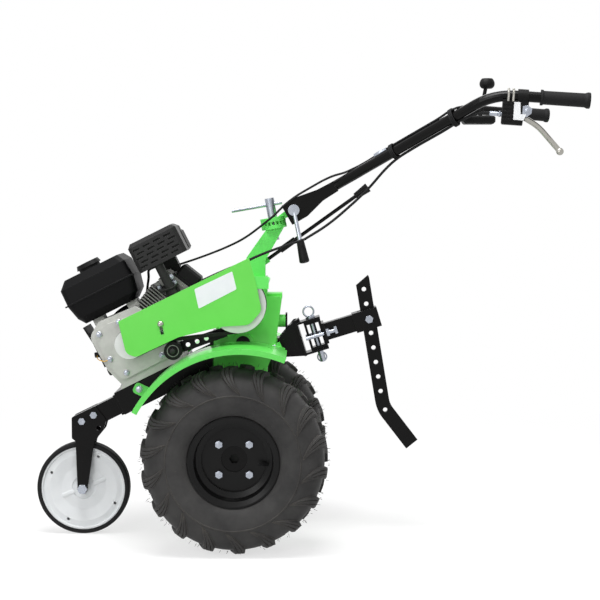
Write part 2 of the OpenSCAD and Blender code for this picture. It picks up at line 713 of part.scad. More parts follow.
// Ring of clamping teeth, standing up from a height in the swivel's frame
module swivel_teeth(z) {
  for (k = [0:tooth_n - 1]) rotate([0, 0, 360 / tooth_n * k]) translate([swivel_r - 13, -2.5, z])
    cube([12.4, 5, tooth_h + 1]);
}
module column() {
  color(GREEN) difference() {
    union() {
      translate([2, -45, 690]) cube([78, 90, 8]);
      side_plate(-24, 24) polygon(rounded([[24, 698], [75, 698], [75, 741, 15], [128, 836], [82, 830],
        [24, 748, 15]]));
      swivel_frame() {
        translate([0, 0, -14]) cylinder(r = swivel_r, h = 14 - tooth_h);
        swivel_teeth(-tooth_h - 1);
      }
      translate([70, cover_y, 690]) cube([18, -cover_y - 20, 6]);
      translate([43, cover_y, 676]) cube([45, 3, 31]);
      along(lever_foot, lever_knob) translate([0, 0, -22]) cylinder(r = 9, h = 22 + lever_start - seat_gap);
    }
    swivel_frame() translate([0, 0, -50]) cylinder(r = screw_r + run_gap, h = 60);
  }
}
module swivel_head() {
  px = (pivot_x - swivel_x) * cos(swivel_tilt) + (pivot_z - swivel_z) * sin(swivel_tilt);
  pz = (pivot_z - swivel_z) * cos(swivel_tilt) - (pivot_x - swivel_x) * sin(swivel_tilt);
  color(GREEN) swivel_frame() difference() {
    union() {
      translate([0, 0, seat_gap + tooth_h]) cylinder(r = swivel_r, h = 16 - tooth_h);
      swivel_teeth(seat_gap);
      side_plate(-13, 13) polygon([[0, 1 + tooth_h], [px, pz - 14], [px, pz + 14], [collar_r + 1.5, 16],
        [0, 16]]);
      at(px, pz) bar_y(15, -head_half + head_t + seat_gap, head_half - head_t - seat_gap);
    }
    translate([0, 0, -10]) cylinder(r = screw_r + run_gap, h = 60);
    at(px, pz) bar_y(tilt_pin_r + run_gap, -80, 80);
  }
}
module swivel_screw() {
  color(STEEL) swivel_frame() {
    translate([0, 0, -45]) cylinder(r = screw_r, h = 80);
    translate([0, 0, 16 + 2 * seat_gap]) cylinder(r = collar_r, h = 52);
    translate([-105, 0, 52]) rotate([0, 90, 0]) cylinder(r = 5, h = 137);
  }
}

// Handlebar
tilt_pin_r = 6;
head_half = 53;
head_t = 3;
bar_n = 1;
tube_y0 = 36;
function bar_z(x) = pivot_z + (x - pivot_x) * tan(bar_slope) + bar_n / cos(bar_slope);
corner_x = 647;
grip_y = grip_spread / 2;
grip_end_z = 1146;
tube_start = [205, tube_y0, bar_z(205)];
tube_bend = [262, tube_y0, bar_z(262)];
tube_corner = [corner_x, grip_y - 22, bar_z(corner_x)];
tube_end = [grip_end_x, grip_y, grip_end_z];
grip_start = tube_end - unit(tube_end - tube_corner) * grip_l;
module along(p, q) {
  d = unit(q - p);
  side = unit(cross(d, [0, 1, 0]));
  up = cross(d, side);
  multmatrix([[side.x, up.x, d.x, p.x], [side.y, up.y, d.y, p.y], [side.z, up.z, d.z, p.z], [0, 0, 0, 1]])
    children();
}
module tube_one() {
  swept_tube(bent_line([tube_start, tube_bend, tube_corner, tube_end - unit(tube_end - tube_corner) * 3],
    [0, 70, 150, 0]), bar_d / 2, bar_t);
}
module handle_tube_right() { color(BLACK) tube_one(); }
module handle_tube_left() { color(BLACK) mirror([0, 1, 0]) tube_one(); }
module grips() {
  color(RUBBER) both_sides() along(grip_start, tube_end) difference() {
    rotate_extrude() polygon(rounded([[0, 0], [19.5, 0], [19.5, 5], [17, 8, 2], [17.5, grip_l - 14, 6],
      [20, grip_l - 8, 3], [20, grip_l, 3], [0, grip_l]]));
    translate([0, 0, -1]) cylinder(r = bar_d / 2 + run_gap, h = grip_l - 2);
  }
}
module head_outline(t) {
  polygon(rounded([[-23 - 3 * t, 26 - t, 2], [20, 27 - t, 30], [80, 16 - t, 40], [128 - t, 14 - t, 1],
    [128 - t, t - 15, 1], [80, t - 17, 40], [24, t - 32, 25], [-23 - 3 * t, t - 32, 2]]));
}
module handlebar_head() {
  color(BLACK) difference() {
    bar_frame() difference() {
      side_plate(-head_half, head_half) head_outline(0);
      side_plate(-head_half + head_t, head_half - head_t) head_outline(head_t);
      translate([-40, -19, 0]) cube([75, 38, 60]);
      bar_y(tilt_pin_r + run_gap, -80, 80);
    }
    both_sides() along(tube_start, tube_bend) {
      cylinder(r = bar_d / 2 + run_gap, h = 120);
      translate([0, 0, 40]) cylinder(r1 = bar_d / 2 + run_gap, r2 = bar_d / 2 + 6, h = 40);
    }
  }
}
module tilt_clamp() {
  color(STEEL) at(pivot_x, pivot_z) {
    bar_y(tilt_pin_r, -head_half - 10, head_half + 8);
    bar_y(15, -head_half - 14, -head_half - seat_gap);
    bar_y(10, head_half + seat_gap, head_half + 8);
    along([0, -head_half - 7, 0], [18, -78, -86]) {
      cylinder(r = 5.5, h = 100);
      translate([0, 0, 86]) cylinder(r1 = 9, r2 = 12.5, h = 54);
    }
  }
}
brace_x = 610;
module cross_brace() {
  y = tube_y0 + (tube_corner.y - tube_y0) * (brace_x - tube_bend.x) / (tube_corner.x - tube_bend.x);
  color(BLACK) difference() {
    at(brace_x, bar_z(brace_x)) bar_y(8, -y, y);
    both_sides() along(tube_bend, tube_corner) cylinder(r = bar_d / 2 + seat_gap, h = 600);
  }
}
lever_drop = 45;
lever_root = 62;
clamp_l = 26;
module left_grip_frame() { mirror([0, 1, 0]) along(tube_corner, tube_end) children(); }
module lever_mount() {
  color(BLACK) left_grip_frame() difference() {
    union() {
      translate([0, 0, lever_root - 2]) cylinder(r = bar_d / 2 + 4, h = clamp_l);
      translate([-bar_d / 2 - 16, -11, lever_root - 10]) cube([16, 22, 10 + clamp_l - 2]);
      translate([-lever_drop - 20, -11, lever_root - 28]) chamfer_box(36, 22, 28, 3);
    }
    cylinder(r = bar_d / 2 + run_gap, h = 120);
  }
}
module clutch_lever() {
  color(STEEL) left_grip_frame() {
    swept_bar(bent_line([[-lever_drop, 0, lever_root + 3.6], [-lever_drop - 26, 0, lever_root + 54],
      [-lever_drop - 84, 0, lever_root + 112]], [0, 120, 0]), 7, 12);
    translate([-lever_drop - 84, 0, lever_root + 112]) sphere(r = 9.5, $fn = 20);
  }
}
module throttle_control() {
  z = bar_z(brace_x);
  color(BLACK) difference() {
    union() {
      translate([602, -30, 1105]) chamfer_box(85, 60, 22, 5);
      translate([brace_x - 12, -12, 1120]) cube([24, 24, z - 1108]);
      along([648, 0, 1120], [664, 0, 1205]) cylinder(r = 5, h = 86);
      translate([667, 0, 1200]) cylinder(r1 = 12, r2 = 19, h = 10);
      translate([667, 0, 1210]) cylinder(r1 = 19, r2 = 14, h = 16);
    }
    at(brace_x, z) bar_y(8, -40, 40);
  }
}
// Foot and knob of the gear lever, and how far up its line the rod leaves the socket
lever_foot = [78, 20, 741];
lever_knob = [350, 20, 936];
lever_start = 6;
module gear_lever() {
  color(BLACK) {
    along(lever_foot, lever_knob) {
      translate([0, 0, lever_start]) cylinder(r = 5, h = 310 - lever_start);
      translate([0, 0, 45]) cylinder(r = 8.5, h = 50);
      translate([0, 0, 294]) cylinder(r1 = 9, r2 = 13, h = 42);
    }
  }
}

// Hitch, drawbar and coulter
clevis_y = 32;
nose_y = 22;
module hitch_bracket() {
  color(BLACK) difference() {
    union() {
      translate([hitch_face_x, -34, 480]) cube([6, 68, 54]);
      both_sides() difference() {
        side_plate(26, clevis_y) polygon([[hitch_face_x + 3, 482], [hitch_face_x + 3, 532], [150, 580],
          [166, 584], [190, 500], [181, 486]]);
        hitch_frame() translate([-37, -60, -200]) cube([100, 120, 400]);
      }
      hitch_frame() {
        translate([-43, -46, -39]) cube([6, 92, 90]);
        for (n = [-39, 45.3]) difference() {
          translate([-43, -clevis_y, n]) cube([68, 2 * clevis_y, 5.7]);
          translate([0, 0, n - 1]) cylinder(r = hitch_pin_r + run_gap, h = 10);
        }
      }
      translate([129, -17, 556]) cube([5, 34, 44]);
      side_plate(-17, 17) polygon([[131, 556], [131, 562], [164, 586], [168, 578]]);
    }
  }
}
module hitch_pin() {
  color(STEEL) hitch_frame() {
    translate([0, 0, -70]) cylinder(r = hitch_pin_r, h = 128);
    translate([0, 0, 51]) cylinder(r = 13, h = 5);
    translate([0, 0, 70]) rotate([90, 0, 0]) rotate_extrude() translate([14, 0]) circle(r = 2.5);
    translate([0, 0, -58]) rotate([90, 0, 0]) rotate_extrude() translate([12, 0]) circle(r = 2);
  }
}
holder_pin = [150, 5];
coulter_tilt = 9.5;
module drawbar() {
  color(BLACK) hitch_frame() difference() {
    union() {
      difference() {
        translate([-22, -nose_y, -33]) cube([46, 2 * nose_y, 78]);
        translate([-16, -nose_y - 1, -25]) cube([33, 2 * nose_y + 2, 62]);
      }
      translate([23, -48, -24]) cube([7, 96, 56]);
      difference() {
        translate([29, -18, -18]) cube([82, 36, 46]);
        translate([29, -13, -13]) cube([90, 26, 36]);
      }
      translate([109, -28, -22]) cube([69, 56, 53]);
    }
    translate([0, 0, -50]) cylinder(r = hitch_pin_r + run_gap, h = 120);
    translate([125, -coulter_t / 2 - seat_gap, -40]) cube([48, coulter_t + 2 * seat_gap, 100]);
    at(holder_pin.x, holder_pin.y) bar_y(6 + run_gap, -50, 50);
    for (s = [-1, 1]) translate([0, s * 37, 4]) rotate([0, 90, 0]) cylinder(r = 5 + run_gap, h = 60);
  }
}
module drawbar_bolts() {
  color(STEEL) hitch_frame() {
    for (s = [-1, 1]) translate([0, s * 37, 4]) rotate([0, 90, 0]) {
      translate([0, 0, -27]) cylinder(r = 5, h = 80);
      translate([0, 0, 30]) hex_bar(17, 8);
      translate([0, 0, 53]) hex_bar(17, 7);
    }
    at(holder_pin.x, holder_pin.y) {
      bar_y(6, -40, 40);
      translate([0, -38, 0]) spin_y() hex_bar(19, 10);
      translate([0, 28, 0]) spin_y() hex_bar(19, 10);
    }
  }
}
module coulter() {
  w = coulter_w / 2;
  color(BLACK) hitch_frame() at(holder_pin.x, holder_pin.y) rotate([0, hitch_tilt - coulter_tilt,
    0]) difference() {
    side_plate(-coulter_t / 2, coulter_t / 2) polygon(rounded([[-w, 94], [w - 2, 116], [w, 110], [w,
      -238, 60],
      [w + 58, -347], [w + 24, -366], [-w, -250, 98]]));
    for (k = [-5:2]) at(0, coulter_pitch * k) bar_y(6 + run_gap, -20, 20);
    at(4, -5 * coulter_pitch - 52) bar_y(6, -20, 20);
  }
}

// Cables
module throttle_cable() {
  color(RUBBER) cable([[-160, 56, 728], [-112, 55, 744], [-69, 48, 760], [-26, 25, 778], [17, -2, 800],
    [58, -38, 829], [95, -62, 858], [140, -66, 900], [200, -62, 938], [250, -57, 964], [293.5, -55.8, 978],
    [413.5, -131.2, 1047.3], [513.5, -194.1, 1105], [563.5, -225.5, 1134], [583, -190, 1132],
    [577, -110, 1124], [573, -50, 1118], [580, -18, 1116.4], [592, -6, 1116], [601.6, -6, 1116]], 3);
}
module clutch_cable() {
  color(RUBBER) cable([[-84, -179.2, 696], [-40, -176, 716], [20, -160, 741], [70, -118, 762], [120,
    -100, 780],
    [180, -97, 800], [240, -92, 838], [300, -92, 888], [344, -100, 930], [395, -126, 988],
    [418, -134.1, 1008.5], [445, -151, 1026.6], [526.7, -202.4, 1074.1], [590, -242.2, 1110.4],
    [625, -266, 1119], [651.3, -278.7, 1115.8], [677.1, -281.1, 1113.9]], 3.5);
}
module place() { translate([-origin_x, 0, 0]) children(); }
place() gearbox();
place() gearbox_plug();
place() frame();
place() wheel_arm();
place() wheel_fork();
place() fork_bolts();
place() engine_block();
place() engine_side_cover();
place() engine_cylinder();
place() valve_cover();
place() fuel_tank();
place() tank_cap();
place() muffler();
place() muffler_shield();
place() air_filter();
place() carburettor();
place() blower_housing();
place() recoil_starter();
place() engine_pulley();
place() gearbox_pulley();
place() drive_belts();
place() idler_pulley();
place() idler_arm();
place() belt_cover();
place() fender_left();
place() fender_right();
place() column();
place() hitch_bracket();
place() hitch_pin();
place() gear_lever();
place() throttle_cable();
place() clutch_cable();
place() swivel_head();
place() swivel_screw();
place() handlebar_head();
place() tilt_clamp();
place() handle_tube_left();
place() handle_tube_right();
place() cross_brace();
place() grips();
place() lever_mount();
place() clutch_lever();
place() throttle_control();
place() axle();
place() hubs();
place() rim_left();
place() rim_right();
place() tyre_left();
place() tyre_right();
place() front_wheel_disc();
place() front_wheel_tyre();
place() drawbar();
place() drawbar_bolts();
place() coulter();
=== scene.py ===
"""Walking tractor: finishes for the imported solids, and the small fittings, tyres and cables added to them."""
import math
import random

import bmesh
import bpy
from mathutils import Matrix, Vector


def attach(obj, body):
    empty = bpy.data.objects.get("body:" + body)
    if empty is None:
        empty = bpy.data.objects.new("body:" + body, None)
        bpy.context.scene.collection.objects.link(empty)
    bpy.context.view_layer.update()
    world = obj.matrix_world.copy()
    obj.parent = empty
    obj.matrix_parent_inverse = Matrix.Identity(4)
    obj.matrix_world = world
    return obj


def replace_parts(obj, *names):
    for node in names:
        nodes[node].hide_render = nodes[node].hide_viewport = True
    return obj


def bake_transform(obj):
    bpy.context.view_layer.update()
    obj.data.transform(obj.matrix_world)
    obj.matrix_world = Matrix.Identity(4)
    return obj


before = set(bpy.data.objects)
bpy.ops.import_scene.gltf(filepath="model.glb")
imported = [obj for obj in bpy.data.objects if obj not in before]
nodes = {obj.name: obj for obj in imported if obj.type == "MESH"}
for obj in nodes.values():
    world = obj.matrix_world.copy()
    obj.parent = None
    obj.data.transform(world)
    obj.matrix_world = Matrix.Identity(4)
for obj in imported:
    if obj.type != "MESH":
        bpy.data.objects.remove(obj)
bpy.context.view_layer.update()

scene = bpy.context.scene

# Places
# Millimetres from the drive axle on the floor, as in the part's source; the row frame starts 170.5 further back.
ORIGIN_X = 170.5
AXLE_Z = 241.5
TRACK_HALF = 210.0
ENGINE = (-271.0, 532.0)
ENGINE_TILT = math.radians(26.5)
COVER_FACE = -199.0


def spot(x, y, z):
    """A point of the machine, in metres in the row frame."""
    return Vector(((x - ORIGIN_X) / 1000, y / 1000, z / 1000))


def on_engine(a, y, b):
    """A point in the tilted engine's own frame."""
    c, s = math.cos(ENGINE_TILT), math.sin(ENGINE_TILT)
    return spot(ENGINE[0] + a * c - b * s, y, ENGINE[1] + a * s + b * c)


def from_engine(a, y, b):
    """A direction in the tilted engine's own frame."""
    return on_engine(a, y, b) - on_engine(0, 0, 0)


def facing(point, direction):
    """A matrix whose Z axis looks along the direction from the point."""
    return Matrix.Translation(point) @ Vector(direction).to_track_quat("Z", "Y").to_matrix().to_4x4()


def srgb(r, g, b):
    """Linear colour of a screen colour given from 0 to 255."""
    def lin(c):
        c /= 255
        return c / 12.92 if c <= 0.04045 else ((c + 0.055) / 1.055) ** 2.4
    return (lin(r), lin(g), lin(b), 1.0)


# Finishes
COAT_ROUGHNESS = 0.12
GRAIN_HEIGHT = 0.0006
# Edges get a painted highlight, a lighter colour where the rounded normal leaves the face's own normal, between these
# two cosines.
HIGHLIGHT_STARTS, HIGHLIGHT_FULL = 0.97, 0.80
# Sockets of the Mix node when it mixes colours.
MIX_SHARE, MIX_DARK, MIX_LIGHT, MIX_RESULT = 0, 6, 7, 2


def finish(name, dark, light, rough, metal=0.0, patch=9.0, grain=700.0, bump=0.08, edge_highlight=None,
           rounding=0.0008, coat=0.0, shine=0.5, stretch=(1, 1, 1)):
    """A surface with patchy colour and gloss, a fine grain, softened edges and, where asked, a painted highlight on
    its edges.
    """
    made = bpy.data.materials.new(name)
    made.use_nodes = True
    tree = made.node_tree
    tree.nodes.clear()

    def add(kind, **values):
        node = tree.nodes.new(kind)
        for key, value in values.items():
            if hasattr(node, key):
                setattr(node, key, value)
            else:
                node.inputs[key].default_value = value
        return node

    def join(a, out, b, into):
        tree.links.new(a.outputs[out], b.inputs[into])

    surface = add("ShaderNodeBsdfPrincipled", Metallic=metal)
    surface.inputs["Specular IOR Level"].default_value = shine
    surface.inputs["Coat Weight"].default_value = coat
    surface.inputs["Coat Roughness"].default_value = COAT_ROUGHNESS
    output = add("ShaderNodeOutputMaterial")
    join(surface, "BSDF", output, "Surface")
    place = add("ShaderNodeTexCoord")
    turn = add("ShaderNodeMapping", Scale=stretch)
    join(place, "Object", turn, "Vector")
    patches = add("ShaderNodeTexNoise", Scale=patch, Detail=6.0, Roughness=0.62)
    join(turn, "Vector", patches, "Vector")
    colour = add("ShaderNodeMix", data_type="RGBA")
    colour.inputs[MIX_DARK].default_value = dark
    colour.inputs[MIX_LIGHT].default_value = light
    tree.links.new(patches.outputs["Fac"], colour.inputs[MIX_SHARE])
    fine = add("ShaderNodeTexNoise", Scale=grain, Detail=3.0, Roughness=0.55)
    join(turn, "Vector", fine, "Vector")
    gloss = add("ShaderNodeMapRange")
    gloss.inputs["To Min"].default_value = rough[0]
    gloss.inputs["To Max"].default_value = rough[1]
    join(patches, "Fac", gloss, "Value")
    join(gloss, "Result", surface, "Roughness")
    soft = add("ShaderNodeBevel", samples=4)
    soft.inputs["Radius"].default_value = rounding
    relief = add("ShaderNodeBump")
    relief.inputs["Strength"].default_value = bump
    relief.inputs["Distance"].default_value = GRAIN_HEIGHT
    join(fine, "Fac", relief, "Height")
    join(soft, "Normal", relief, "Normal")
    join(relief, "Normal", surface, "Normal")
    if edge_highlight is None:
        tree.links.new(colour.outputs[MIX_RESULT], surface.inputs["Base Color"])
        return made
    # Painted highlight: the edges are mixed, in noise patches, towards the lighter edge colour.
    shape = add("ShaderNodeNewGeometry")
    angle = add("ShaderNodeVectorMath", operation="DOT_PRODUCT")
    join(soft, "Normal", angle, 0)
    join(shape, "Normal", angle, 1)
    edge_share = add("ShaderNodeMapRange")
    edge_share.inputs["From Min"].default_value = HIGHLIGHT_STARTS
    edge_share.inputs["From Max"].default_value = HIGHLIGHT_FULL
    tree.links.new(angle.outputs["Value"], edge_share.inputs["Value"])
    highlight_patches = add("ShaderNodeMath", operation="MULTIPLY")
    join(edge_share, "Result", highlight_patches, 0)
    join(patches, "Fac", highlight_patches, 1)
    highlighted = add("ShaderNodeMix", data_type="RGBA")
    tree.links.new(highlight_patches.outputs[0], highlighted.inputs[MIX_SHARE])
    tree.links.new(colour.outputs[MIX_RESULT], highlighted.inputs[MIX_DARK])
    highlighted.inputs[MIX_LIGHT].default_value = edge_highlight
    tree.links.new(highlighted.outputs[MIX_RESULT], surface.inputs["Base Color"])
    return made


# Each edge colour below is a painted highlight, lighter than the surface, along that finish's edges.
cover_green = finish("cover_green", srgb(96, 203, 74), srgb(112, 213, 90), (0.34, 0.46), shine=0.3,
                     edge_highlight=srgb(176, 240, 160))
column_green = finish("column_green", srgb(90, 214, 88), srgb(110, 226, 106), (0.32, 0.44), shine=0.3,
                      edge_highlight=srgb(166, 238, 152))
# The gearbox's green is painted lighter than the other greens: painted light against the shade that falls on it among
# the other parts.
cast_green = finish("cast_green", srgb(98, 220, 86), srgb(122, 236, 108), (0.34, 0.5), patch=14, grain=420,
                    bump=0.22, edge_highlight=srgb(140, 220, 128), shine=0.35)
fender_green = finish("fender_green", srgb(82, 206, 76), srgb(108, 222, 98), (0.22, 0.36), coat=0.25, shine=0.4,
                      edge_highlight=srgb(176, 242, 160))
frame_black = finish("frame_black", srgb(6, 6, 6), srgb(14, 13, 13), (0.2, 0.3), shine=0.13,
                     edge_highlight=srgb(78, 77, 76))
rim_black = finish("rim_black", srgb(6, 6, 6), srgb(14, 14, 14), (0.24, 0.36), shine=0.18,
                   edge_highlight=srgb(70, 70, 70))
tank_black = finish("tank_black", srgb(3, 3, 4), srgb(8, 8, 9), (0.44, 0.56), bump=0.03, shine=0.12,
                    rounding=0.0025, edge_highlight=srgb(60, 60, 62))
shield_black = finish("shield_black", srgb(10, 10, 10), srgb(22, 22, 22), (0.36, 0.5), bump=0.2, shine=0.28,
                      edge_highlight=srgb(84, 84, 84), rounding=0.0014)
plastic_black = finish("plastic_black", srgb(9, 9, 9), srgb(20, 20, 20), (0.42, 0.6), grain=520, bump=0.14,
                       shine=0.14, edge_highlight=srgb(62, 62, 62))
grip_rubber = finish("grip_rubber", srgb(15, 15, 16), srgb(31, 31, 32), (0.6, 0.78), grain=380, bump=0.2,
                     shine=0.2)
tyre_rubber = finish("tyre_rubber", srgb(34, 34, 35), srgb(78, 77, 76), (0.45, 0.65), patch=15, grain=300,
                     bump=0.3, shine=0.1, edge_highlight=srgb(112, 104, 94), rounding=0.0012)
belt_rubber = finish("belt_rubber", srgb(16, 15, 15), srgb(34, 33, 32), (0.6, 0.8), grain=360, bump=0.25,
                     shine=0.2)
cast_alloy = finish("cast_alloy", srgb(150, 152, 146), srgb(202, 203, 198), (0.42, 0.6), metal=0.45, patch=22,
                    grain=330, bump=0.3, edge_highlight=srgb(236, 236, 232), rounding=0.0014)
# The cylinder's alloy is a darker copy of the cast alloy: painted shade of the gaps between its fins.
fin_alloy = finish("fin_alloy", srgb(84, 86, 82), srgb(146, 147, 142), (0.44, 0.62), metal=0.45, patch=22,
                   grain=330, bump=0.3, edge_highlight=srgb(214, 214, 210), rounding=0.0006)
turned_alloy = finish("turned_alloy", srgb(190, 192, 190), srgb(224, 225, 224), (0.32, 0.46), metal=0.35,
                      patch=16, grain=500, bump=0.1, edge_highlight=srgb(248, 248, 248))
zinc = finish("zinc", srgb(132, 138, 150), srgb(198, 203, 212), (0.2, 0.34), metal=0.85, patch=45, grain=800,
              bump=0.08, edge_highlight=srgb(250, 250, 252), rounding=0.0005)
bright_steel = finish("bright_steel", srgb(138, 136, 128), srgb(192, 190, 184), (0.18, 0.32), metal=0.9, patch=30,
                      bump=0.06)
pipe_steel = finish("pipe_steel", srgb(24, 26, 24), srgb(48, 49, 47), (0.4, 0.6), metal=0.3, patch=24, bump=0.2,
                    shine=0.25)
wheel_white = finish("wheel_white", srgb(214, 217, 219), srgb(234, 236, 237), (0.32, 0.46), patch=12, shine=0.3)
label_white = finish("label_white", srgb(222, 224, 230), srgb(236, 237, 241), (0.36, 0.5), patch=30, bump=0.04,
                     shine=0.2, rounding=0.0002)
latch_white = finish("latch_white", srgb(222, 224, 226), srgb(242, 243, 244), (0.3, 0.42), patch=26, bump=0.05)
wire_yellow = finish("wire_yellow", srgb(204, 150, 34), srgb(226, 176, 60), (0.4, 0.5), patch=60, bump=0.05)

NODE_FINISHES = {
    cover_green: ["belt_cover"],
    column_green: ["column", "swivel_head"],
    cast_green: ["gearbox"],
    fender_green: ["fender_left", "fender_right"],
    frame_black: ["frame", "wheel_arm", "wheel_fork", "hitch_bracket", "gear_lever", "handlebar_head",
                  "handle_tube_left", "handle_tube_right", "cross_brace", "drawbar", "coulter", "idler_arm", "hubs"],
    rim_black: ["rim_left", "rim_right"],
    tank_black: ["fuel_tank"],
    shield_black: ["muffler_shield"],
    plastic_black: ["gearbox_plug", "valve_cover", "tank_cap", "air_filter", "blower_housing", "recoil_starter",
                    "idler_pulley", "lever_mount", "throttle_control"],
    grip_rubber: ["grips", "front_wheel_tyre", "throttle_cable", "clutch_cable"],
    tyre_rubber: ["tyre_left", "tyre_right"],
    belt_rubber: ["drive_belts"],
    cast_alloy: ["engine_block", "engine_side_cover"],
    fin_alloy: ["engine_cylinder"],
    turned_alloy: ["engine_pulley", "gearbox_pulley"],
    zinc: ["fork_bolts", "swivel_screw", "tilt_clamp", "hitch_pin", "drawbar_bolts"],
    bright_steel: ["clutch_lever"],
    pipe_steel: ["muffler", "axle", "carburettor"],
    wheel_white: ["front_wheel_disc"],
}
for surface_finish, names in NODE_FINISHES.items():
    for name in names:
        nodes[name].data.materials.clear()
        nodes[name].data.materials.append(surface_finish)


# Making pieces
def piece(name, bm, surface_finish, body, sharp=35):
    """Turns a bmesh into an object that moves with a body."""
    mesh = bpy.data.meshes.new(name)
    bmesh.ops.recalc_face_normals(bm, faces=bm.faces)
    if bm.calc_volume(signed=True) < 0:
        bmesh.ops.reverse_faces(bm, faces=bm.faces)
    bm.to_mesh(mesh)
    bm.free()
    made = bpy.data.objects.new(name, mesh)
    scene.collection.objects.link(made)
    mesh.materials.append(surface_finish)
    mesh.polygons.foreach_set("use_smooth", [True] * len(mesh.polygons))
    mesh.set_sharp_from_angle(angle=math.radians(sharp))
    if body:
        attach(made, body)
    return made


def turned(bm, outline, place, steps=24):
    """Spins an outline of radius and height, in millimetres, round the matrix's Z axis."""
    before = set(bm.verts)
    start = [bm.verts.new((r / 1000, 0, h / 1000)) for r, h in outline]
    edges = [bm.edges.new(pair) for pair in zip(start, start[1:])]
    bmesh.ops.spin(bm, geom=start + edges, axis=(0, 0, 1), cent=(0, 0, 0), steps=steps, angle=2 * math.pi,
                   use_merge=True)
    bmesh.ops.remove_doubles(bm, verts=[v for v in bm.verts if v not in before], dist=1e-6)
    bmesh.ops.transform(bm, matrix=place, verts=[v for v in bm.verts if v not in before])


def hexagon(bm, flats, height, place, lift=0.0):
    """A hexagonal head with chamfered corners on its outer end."""
    corner = flats / 2000 / math.cos(math.pi / 6)
    made = bmesh.ops.create_cone(bm, cap_ends=True, segments=6, radius1=corner, radius2=corner, depth=height / 1000,
                                 matrix=place @ Matrix.Translation((0, 0, (lift + height / 2) / 1000)))
    axis = place.to_3x3() @ Vector((0, 0, 1))

    def level(vert):
        return (vert.co - place.translation).dot(axis)

    top = max(level(v) for v in made["verts"])
    rim = [e for e in {e for v in made["verts"] for e in v.link_edges} if all(level(v) > top - 1e-6 for v in e.verts)]
    bmesh.ops.bevel(bm, geom=rim, offset=flats * 0.07 / 1000, segments=2, profile=0.5, affect="EDGES", material=-1)


WASHER_THICK = 2


def bolt(bm, place, flats=13, head=6, washer=11):
    """A bolt head on a washer of that radius, or on none, standing along the matrix's Z axis."""
    if washer:
        turned(bm, [(0, 0), (washer - 0.4, 0), (washer, 0.4), (washer, 1.6), (washer - 0.5, WASHER_THICK),
                    (0, WASHER_THICK)], place)
    hexagon(bm, flats, head, place, lift=WASHER_THICK if washer else 0)


def bolts(name, places, body, flats=13, head=6, washer=11, surface_finish=None):
    bm = bmesh.new()
    for place in places:
        bolt(bm, place, flats, head, washer)
    return piece(name, bm, surface_finish or zinc, body)


def line_of(points, closed=False, detail=6):
    """A smooth line through the points, as a curve."""
    curve = bpy.data.curves.new("line", "CURVE")
    curve.dimensions = "3D"
    curve.resolution_u = detail
    curve.use_fill_caps = True
    spline = curve.splines.new("BEZIER")
    spline.bezier_points.add(len(points) - 1)
    for knot, point in zip(spline.bezier_points, points):
        knot.co = point
        knot.handle_left_type = knot.handle_right_type = "AUTO"
    spline.use_cyclic_u = closed
    return curve


def mesh_of(curve):
    holder = bpy.data.objects.new("line", curve)
    scene.collection.objects.link(holder)
    made = bpy.data.meshes.new_from_object(holder.evaluated_get(bpy.context.evaluated_depsgraph_get()))
    bpy.data.objects.remove(holder)
    return made


def rod(bm, points, radius, closed=False, detail=6, sides=3):
    """Adds a round rod of that radius, in millimetres, along a smooth line."""
    curve = line_of(points, closed, detail)
    curve.bevel_depth = radius / 1000
    curve.bevel_resolution = sides
    made = mesh_of(curve)
    before = len(bm.verts)
    bm.from_mesh(made)
    bm.verts.ensure_lookup_table()
    bmesh.ops.remove_doubles(bm, verts=bm.verts[before:], dist=1e-6)
    bpy.data.meshes.remove(made)
    bpy.data.curves.remove(curve)


def grow(bm, rings):
    """A closed solid: a face on the first ring of points, drawn out through the others."""
    face = bm.faces.new([bm.verts.new(point) for point in rings[0]])
    for k, ring in enumerate(rings[1:]):
        grown = bmesh.ops.extrude_face_region(bm, geom=[face])["geom"]
        if k:
            bmesh.ops.delete(bm, geom=[face], context="FACES_ONLY")
        face = [g for g in grown if isinstance(g, bmesh.types.BMFace)][0]
        for vert, point in zip(face.verts, ring):
            vert.co = point


def plate(bm, corners, thick, bevel=0.0):
    """A flat plate between a ring of corners and the same ring moved by the thickness vector, in metres."""
    face = bm.faces.new([bm.verts.new(c) for c in corners])
    if bevel:
        bmesh.ops.bevel(bm, geom=list(face.verts), offset=bevel, segments=4, profile=0.5, affect="VERTICES",
                        material=-1)
        bm.faces.ensure_lookup_table()
        face = bm.faces[-1]
    grown = bmesh.ops.extrude_face_region(bm, geom=[face], use_keep_orig=True)["geom"]
    bmesh.ops.translate(bm, vec=thick, verts=[g for g in grown if isinstance(g, bmesh.types.BMVert)])


def lathe_piece(name, outline, place, surface_finish, body, steps=24, sharp=35):
    """A piece of one turned outline."""
    bm = bmesh.new()
    turned(bm, outline, place, steps)
    return piece(name, bm, surface_finish, body, sharp)


def plate_piece(name, corners, thick, surface_finish, body, bevel=0.0):
    """A piece of one flat plate."""
    bm = bmesh.new()
    plate(bm, corners, thick, bevel)
    return piece(name, bm, surface_finish, body)


def rod_piece(name, lines, radius, surface_finish, body, material_slot, **bends):
    """A piece of one or more round rods."""
    bm = bmesh.new()
    for line in lines:
        rod(bm, line, radius, **bends)
    return piece(name, bm, surface_finish, body)


# Drive tyres
# Radius from the axle and distance from the tyre's middle plane, from one bead round the tread to the crown.
SIDEWALL = [(107, 60), (116, 62.5), (119, 68), (125, 75), (134, 82), (146, 87.5), (158, 89.6), (167, 89.8),
            (169.4, 90), (170.4, 91.4), (172, 91.4), (173, 89.6), (184, 88.2), (196, 84.6), (207, 79), (216, 71),
            (223, 61), (228, 48), (230.6, 32), (231.5, 14)]
